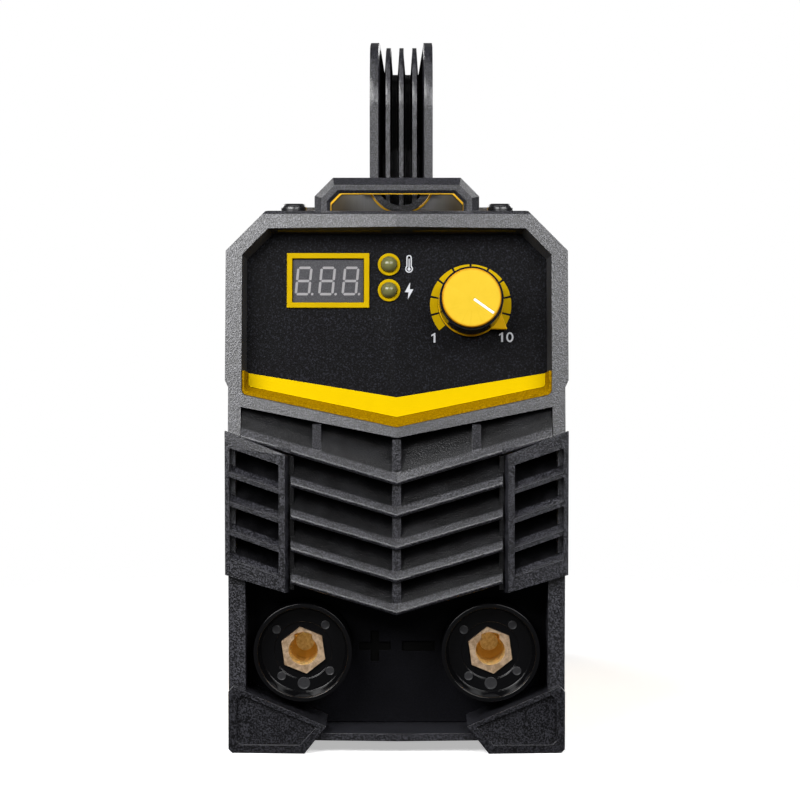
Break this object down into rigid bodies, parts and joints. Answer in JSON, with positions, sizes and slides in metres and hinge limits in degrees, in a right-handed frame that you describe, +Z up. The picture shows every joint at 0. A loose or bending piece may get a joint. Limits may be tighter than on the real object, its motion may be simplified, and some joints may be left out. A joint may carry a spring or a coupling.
{
  "type": "stick welding inverter",
  "caption": "Portable stick welding inverter: louvred moulded front with leaning control panel, knob, display and two output sockets, sheet cover, ribbed arch handle and rear fan",
  "frame": {"origin": "centre of the footprint, on the surface that the feet stand on", "axes": "+Z up, -Y out of the front with the sockets, +X to the right seen from the front"},
  "size_m": [0.1088, 0.225, 0.2286],
  "materials": {
    "graphite_plastic": "fine grained, moulded",
    "black_panel": "fine textured powder coat",
    "gloss_black": "polished",
    "black_plastic": "satin",
    "yellow_plastic": "fine textured",
    "yellow_paint": "powder coat",
    "display_grey": "glossy filter",
    "lamp_olive": "diffused lens",
    "brass": "machined",
    "copper": null,
    "satin_steel": "zinc plated",
    "black_screw": "black oxide",
    "bright_wire": "bright plated wire",
    "rotor_black": "satin",
    "aluminium": "extruded",
    "circuit_board": "solder resist",
    "ferrite": "sintered",
    "device_black": "moulded epoxy",
    "capacitor_sleeve": "shrink sleeve"
  },
  "bodies": {
    "root": {"base_pan": "satin_steel", "board_screws": "satin_steel", "board_standoffs": "satin_steel", "bulk_capacitors": "capacitor_sleeve", "bus_bars": "copper", "chevron_trim": "yellow_plastic", "control_board": "circuit_board", "control_board_parts": "black_plastic", "control_panel": "black_panel", "cover_shell": "yellow_paint", "display_bezel": "yellow_plastic", "display_module": "display_grey", "earth_terminal": "brass", "fan_frame": "black_plastic", "fan_guard": "bright_wire", "fan_motor": "copper", "fan_screws": "satin_steel", "front_frame": "graphite_plastic", "front_grille": "graphite_plastic", "gland_body": "gloss_black", "gland_cap": "gloss_black", "gland_nut": "gloss_black", "handle": "black_plastic", "handle_mount_front": "yellow_paint", "handle_mount_rear": "yellow_paint", "handle_plates": "satin_steel", "handle_screws": "satin_steel", "heat_sink_left": "aluminium", "heat_sink_right": "aluminium", "lamp_rings": "yellow_plastic", "output_choke": "ferrite", "output_diodes": "device_black", "potentiometer_body": "satin_steel", "potentiometer_nut": "satin_steel", "power_board": "circuit_board", "power_transistors": "device_black", "rear_frame": "graphite_plastic", "rear_panel": "black_panel", "side_screws": "black_screw", "socket_contact_left": "brass", "socket_contact_right": "brass", "socket_fasteners": "satin_steel", "socket_housing_left": "gloss_black", "socket_housing_right": "gloss_black", "socket_panel": "black_panel", "status_lamps": "lamp_olive", "supply_parts": "device_black", "switch_housing": "black_plastic", "switch_terminals": "satin_steel", "top_screws": "black_screw", "transformer_core": "ferrite", "transformer_winding": "copper"},
    "knob": {"knob_body": "gloss_black", "knob_cap": "yellow_plastic", "knob_pointer": "yellow_plastic", "knob_collet": "brass", "potentiometer_shaft": "satin_steel"},
    "fan": {"fan_rotor": "rotor_black"},
    "rocker": {"power_rocker": "black_plastic"}
  },
  "joints": [
    {"name": "knob_turn", "type": "hinge", "parent": "root", "child": "knob", "pos_m": [0.0236, -0.09198, 0.1415], "axis": [0, -0.9848, 0.1736], "range_deg": [0, 255]},
    {"name": "fan_spin", "type": "hinge", "parent": "root", "child": "fan", "pos_m": [0, 0.087, 0.062], "axis": [0, 1, 0], "continuous": true},
    {"name": "rocker_tilt", "type": "hinge", "parent": "root", "child": "rocker", "pos_m": [-0.026, 0.0995, 0.131], "axis": [1, 0, 0], "range_deg": [-20, 0]}
  ]
}
